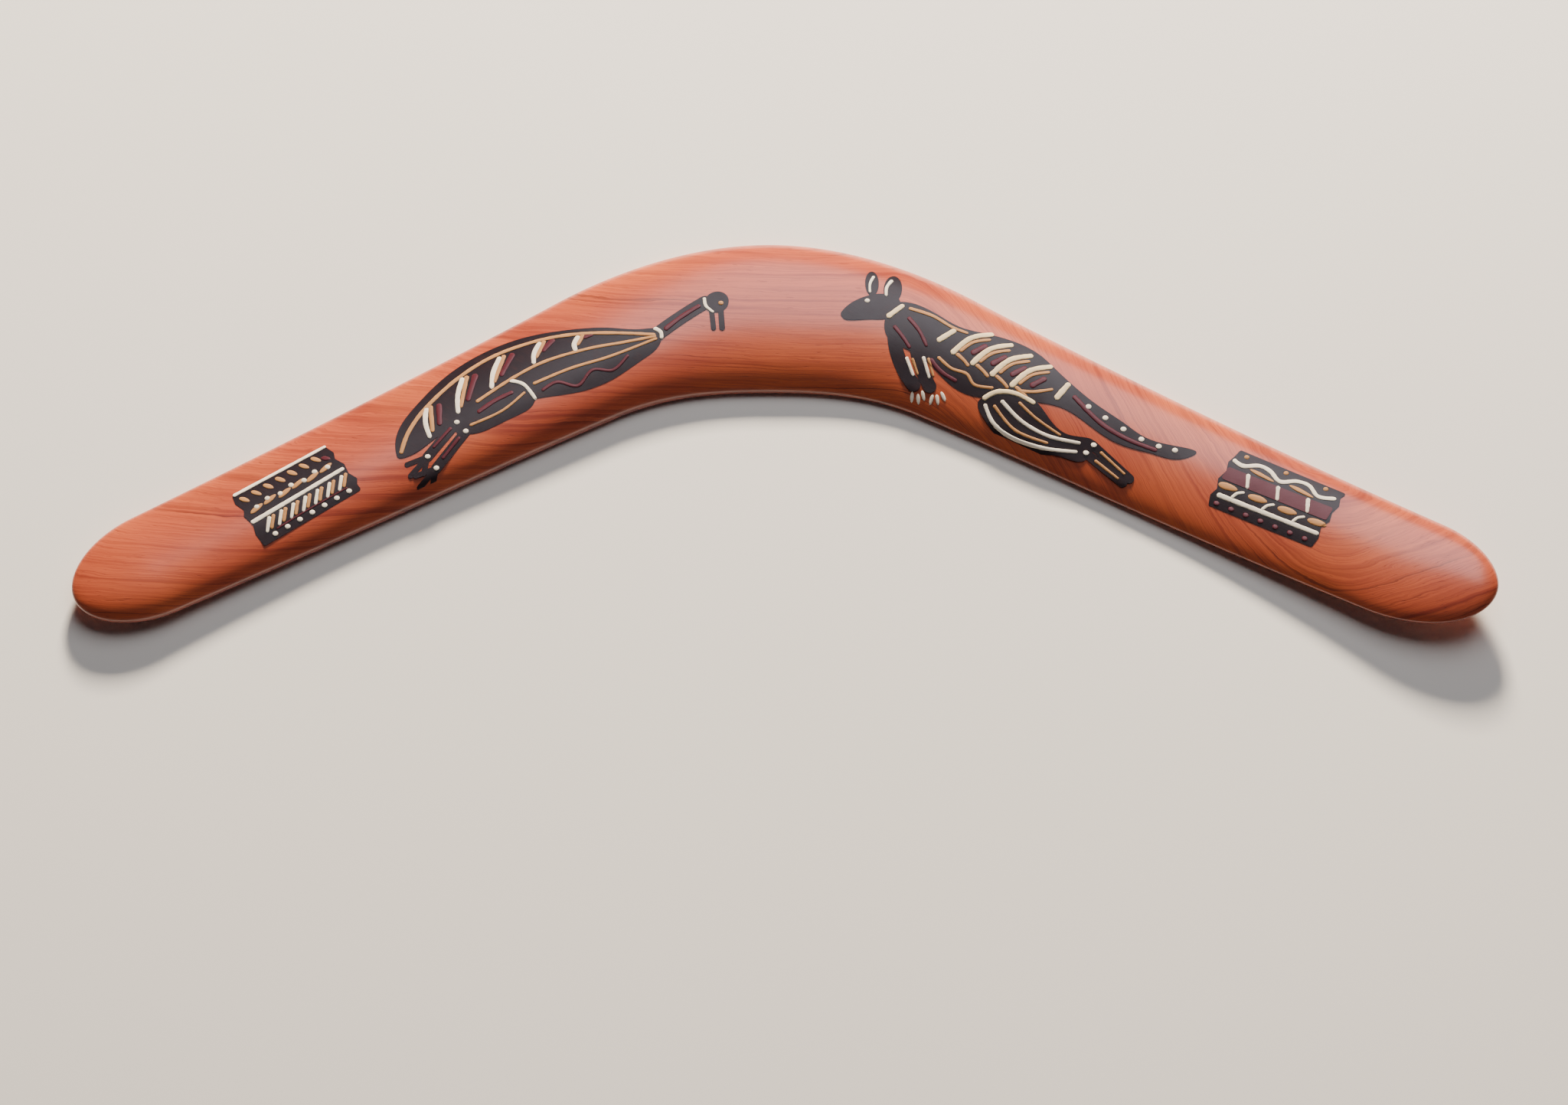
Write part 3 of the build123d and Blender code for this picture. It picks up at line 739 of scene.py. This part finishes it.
def rgb(red, green, blue):
    """A screen colour, 0 to 255, as linear light."""
    parts = []
    for part in (red, green, blue):
        share = part / 255
        parts.append(share / 12.92 if share <= 0.04045 else ((share + 0.055) / 1.055) ** 2.4)
    return (*parts, 1.0)


EARLY_WOOD = rgb(180, 82, 52)
LATE_WOOD = rgb(136, 52, 35)
DARK_WOOD = rgb(88, 32, 24)
HONEY = rgb(204, 103, 56)
TURN_START, TURN_END = 40.0, 190.0  # on x, where the grain begins and ends its turn to KNOT
GRAIN_SLOPE = 0.03  # rise of the straight grain along the blade
RING_SPREAD = 0.8  # spread of the growth rings round KNOT, and through the thickness
RING_DRIFT, RING_WAVER = 9, 2.2  # how far the rings stray, slowly and in short waves


def varnished_timber():
    material, recipe, surface, place = finish_recipe("varnished timber")
    x, y, z = recipe.parts_of(place)

    # The plank's grain runs along the blade and sweeps down into the right wing.
    drift = recipe.noise(place, scale=0.012) - 0.5
    sweep = recipe.ramp(x, TURN_START, TURN_END)
    off_x = x - KNOT[0]
    off_y = y - KNOT[1]
    arc = recipe.maths("SQRT", off_x * off_x + off_y * off_y)
    straight = y + x * GRAIN_SLOPE
    turned = (arc * RING_SPREAD - straight) * sweep
    rings = straight + turned + drift * RING_DRIFT + z * RING_SPREAD
    waver = recipe.noise(
        recipe.xyz(x * 0.05, y * 0.25, z * 0.25), detail=3.0, roughness=0.55,
    )
    rings = rings + waver * RING_WAVER

    def grain(across, along, depth, **noise):
        """Marks drawn out with the grain: changes per millimetre across the rings and along x.

        Each kind of mark is cut from the noise at a depth of its own, so that they differ.
        """
        return recipe.noise(recipe.xyz(rings * across, x * along, depth), **noise)

    late_wood = recipe.ramp(grain(0.34, 0.004, 3.0, detail=3.0, roughness=0.6), 0.50, 0.66)
    fibre = grain(2.6, 0.03, y * 0.03, detail=3.0, roughness=0.6)
    streak = recipe.ramp(grain(0.9, 0.007, 9.0), 0.6, 0.74)
    cloud = recipe.noise(place, scale=0.02)

    # Open pores: short dark dashes with the grain.
    pore_net = recipe.noise(
        recipe.xyz(x * 0.22, rings * 3.4, z * 1.2), detail=1.0, roughness=0.4,
    )
    pores = recipe.ramp(pore_net, 0.66, 0.74)

    # Varnish rubbed thin along the edges.
    edge_low = recipe.ramp(z, 3.4, 1.2)
    scuff = recipe.noise(place, scale=0.16, detail=3.0, roughness=0.6)
    rub = recipe.ramp(scuff, 0.5, 0.7) * edge_low

    # Where each colour shows over the ones before it, and how strongly.
    colour = EARLY_WOOD
    for where, strength, tint in (
        (late_wood, 0.9, LATE_WOOD),
        (recipe.ramp(cloud, 0.42, 0.66), 0.45, HONEY),
        (recipe.ramp(fibre, 0.38, 0.66), 0.5, LATE_WOOD),
        (streak, 0.6, DARK_WOOD),
        (pores, 0.34, DARK_WOOD),
        (rub, 0.3, HONEY),
    ):
        colour = recipe.blend(where * strength, colour, tint)

    # The gloss and the fine relief follow the same marks, each by its weight.
    smear = recipe.noise(recipe.xyz(x * 0.03, y * 0.1, z))
    rough = 0.44 + (smear - 0.5) * 0.12 + late_wood * 0.05 + pores * 0.1
    height = fibre * 0.35 + late_wood * 0.25 - pores * 0.9 + smear * 0.4
    bump = recipe.bump(0.18, 0.0002, height)
    coat(
        recipe, surface,
        {
            "IOR": 1.5, "Specular IOR Level": 0.4, "Coat Weight": 1.0, "Coat Roughness": 0.23,
            "Coat IOR": 1.65,
        },
        {"Base Color": colour, "Roughness": rough, "Normal": bump},
    )
    return material


def brushed_paint(name, colour, worn, roughness, wing_turn=0.0):
    """Craft paint laid with a brush: hairline ridges, thin places and a few specks.

    The hairlines run along x, or wing_turn degrees clockwise of it as seen from above.
    """
    material, recipe, surface, place = finish_recipe(name)
    turned = recipe.add(
        "ShaderNodeMapping", sockets={"Vector": place, "Rotation": (0, 0, radians(wing_turn))},
    )
    x, y, z = recipe.parts_of(turned)
    hairs = recipe.noise(
        recipe.xyz(x * 0.35, y * 4.2, z * 2.0), detail=3.0, roughness=0.6,
    )
    patch = recipe.noise(place, scale=0.22, detail=3.0, roughness=0.55)
    grit = recipe.noise(place, scale=2.6, roughness=0.6)
    thin = recipe.ramp(hairs * 0.6 + patch * 0.4, 0.52, 0.72)
    speck = recipe.ramp(grit, 0.68, 0.76)
    shade = recipe.blend(thin * 0.5, colour, worn)
    shade = recipe.blend(speck * 0.35, shade, worn)
    rough = roughness + (patch - 0.5) * 0.2 + thin * 0.08
    bump = recipe.bump(0.35, 0.00012, hairs + grit * 0.3)
    coat(
        recipe, surface,
        {"IOR": 1.48, "Specular IOR Level": 0.45, "Coat Weight": 0.7, "Coat Roughness": 0.3},
        {"Base Color": shade, "Roughness": rough, "Normal": bump},
    )
    return material


def floor_finish():
    material, recipe, surface, place = finish_recipe("studio floor")
    tone = recipe.noise(place, scale=0.004)
    colour = recipe.blend(tone, rgb(250, 245, 236), rgb(246, 240, 230))
    coat(recipe, surface, {"Roughness": 0.9, "Specular IOR Level": 0.1}, {"Base Color": colour})
    return material


# --- Building the object ----------------------------------------------------------------------

timber = varnished_timber()
black = brushed_paint(
    "black paint", rgb(30, 18, 22), worn=rgb(66, 38, 36), roughness=0.46, wing_turn=27.0,
)
maroon = brushed_paint("maroon paint", rgb(82, 30, 38), worn=rgb(56, 20, 26), roughness=0.5)
ochre = brushed_paint("ochre paint", rgb(180, 128, 78), worn=rgb(146, 94, 58), roughness=0.52)
cream = brushed_paint("cream paint", rgb(238, 214, 168), worn=rgb(208, 164, 112), roughness=0.52)
white = brushed_paint("white paint", rgb(240, 228, 208), worn=rgb(206, 176, 140), roughness=0.52)

blade = carved_blade(timber)
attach(blade, "root")
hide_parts("timber_blank")

COATED = {
    "bird_ground": black, "kangaroo_ground": black, "left_panel_ground": black,
    "right_panel_ground": black, "right_panel_maroon_field": maroon,
}
for node, finish in COATED.items():
    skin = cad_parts[node].data
    skin.materials.clear()
    skin.materials.append(finish)

marks_tree = brush_tree()


def painted(name, node, marks, place, finish, coat_node, layer=0, field=None):
    """One colour of one figure, in place of the CAD node that it stands for."""
    coat_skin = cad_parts[coat_node]
    values = {
        "Blade": blade, "Coat": coat_skin, "Field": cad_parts[field or coat_node],
        "Base": (SUNK + layer * LAYER) * MM, "Rise": STROKE_RISE * MM,
        "Step": STROKE_STEP * MM, "Finish": finish,
    }
    piece = grow(name, marks_tree, values, carrier_mesh(marks, place))
    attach(piece, "root")
    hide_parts(node)


PAINTS = {
    "maroon_paint": maroon, "ochre_paint": ochre, "cream_paint": cream, "white_paint": white,
}
BIRD = wing_place(LEFT)
KANGAROO = wing_place(RIGHT)
NEAR_LEFT = wing_place(LEFT, (-168.5, 2.0), 4.7)
NEAR_RIGHT = wing_place(RIGHT, (179.0, 4.5), 2.4)

# Each colour of each figure, first colour lowest: piece, CAD node, marks and paint.
FIGURES = [
    (BIRD, "bird_ground", [
        ("bird_maroon_strokes", "bird_maroon_lines", bird_maroon(), "maroon_paint"),
        ("bird_ochre_strokes", "bird_ochre_lines", bird_ochre(), "ochre_paint"),
        ("bird_white_strokes", "bird_white_lines", bird_white(), "white_paint"),
    ]),
    (KANGAROO, "kangaroo_ground", [
        ("kangaroo_maroon_strokes", "kangaroo_maroon_lines", kangaroo_maroon(), "maroon_paint"),
        ("kangaroo_ochre_strokes", "kangaroo_ochre_lines", kangaroo_ochre(), "ochre_paint"),
        ("kangaroo_white_strokes", "kangaroo_white_lines", kangaroo_white(), "white_paint"),
        ("kangaroo_cream_strokes", "kangaroo_cream_ribs", kangaroo_cream(), "cream_paint"),
        ("kangaroo_claw_strokes", "kangaroo_claws", kangaroo_claws(), "white_paint"),
    ]),
    (NEAR_LEFT, "left_panel_ground", [
        ("left_panel_maroon_strokes", "left_panel_maroon_thread", left_panel_maroon(),
         "maroon_paint"),
        ("left_panel_ochre_strokes", "left_panel_ochre_dashes", left_panel_ochre(), "ochre_paint"),
        ("left_panel_white_strokes", "left_panel_white_lines", left_panel_white(), "white_paint"),
        ("left_panel_beads", "left_panel_white_dots", left_panel_dots(), "white_paint"),
    ]),
    (NEAR_RIGHT, "right_panel_ground", [
        ("right_panel_beads", "right_panel_maroon_dots", right_panel_dots(), "maroon_paint"),
        ("right_panel_ochre_strokes", "right_panel_ochre_stones", right_panel_ochre(),
         "ochre_paint"),
        ("right_panel_white_strokes", "right_panel_white_lines", right_panel_white(),
         "white_paint"),
    ]),
]
for place, ground, colours in FIGURES:
    field = "right_panel_maroon_field" if ground == "right_panel_ground" else None
    for layer, (name, node, marks, paint) in enumerate(colours):
        painted(name, node, marks, place, PAINTS[paint], ground, layer, field)

# --- Studio -----------------------------------------------------------------------------------

AIM = Vector((5.0, -80.5, 0.0)) * MM
CAMERA_HEIGHT = 70.0  # degrees above the floor
CAMERA_REACH = 1.18
LENS, SENSOR = 85.0, 36.0  # in millimetres, as a camera's are
FLOOR_HALF = 4.0
AIR_COLOUR = (0.80, 0.72, 0.84, 1)
AIR_STRENGTH = 0.03


def floor():
    mesh = bpy.data.meshes.new("studio_floor")
    half = FLOOR_HALF
    corners = [(-half, -half, 0), (half, -half, 0), (half, half, 0), (-half, half, 0)]
    mesh.from_pydata(corners, [], [(0, 1, 2, 3)])
    mesh.materials.append(floor_finish())
    ground = bpy.data.objects.new("studio_floor", mesh)
    bpy.context.collection.objects.link(ground)


def facing(spot, back):
    """Stands at spot with its back turned to the direction back."""
    return Matrix.Translation(spot) @ back.to_track_quat("Z", "Y").to_matrix().to_4x4()


def lamp(name, spot, aim, size, power, colour, glint=True):
    """A softbox at spot that faces aim. Without glint it lights, but isn't mirrored."""
    light = bpy.data.lights.new(name, "AREA")
    light.shape = "RECTANGLE"
    light.size = size[0]
    light.size_y = size[1]
    light.energy = power
    light.color = colour
    box = bpy.data.objects.new(name, light)
    box.visible_glossy = glint
    spot = Vector(spot)
    box.matrix_world = facing(spot, spot - Vector(aim))
    bpy.context.collection.objects.link(box)


def camera():
    lens = bpy.data.cameras.new("camera")
    lens.lens = LENS
    lens.sensor_width = SENSOR
    eye = bpy.data.objects.new("camera", lens)
    back = Vector((0, -cos(radians(CAMERA_HEIGHT)), sin(radians(CAMERA_HEIGHT))))
    eye.matrix_world = facing(AIM + back * CAMERA_REACH, back)
    bpy.context.collection.objects.link(eye)
    bpy.context.scene.camera = eye


def surroundings():
    """A faint light from all round, which keeps the shadow from going black."""
    world = bpy.data.worlds.new("studio")
    world.use_nodes = True
    backdrop = world.node_tree.nodes["Background"]
    backdrop.inputs["Color"].default_value = AIR_COLOUR
    backdrop.inputs["Strength"].default_value = AIR_STRENGTH
    bpy.context.scene.world = world


floor()
camera()
surroundings()
lamp(
    "warm key", spot=(0.05, 1.39, 0.56), aim=(0, 0, 0), size=(0.3, 0.2), power=110,
    colour=(1.0, 0.88, 0.74), glint=False,
)
lamp(
    "back panel", spot=(0.26, 0.68, 1.08), aim=(0, -0.02, 0), size=(1.1, 0.86), power=9.5,
    colour=(0.93, 0.94, 1.0),
)
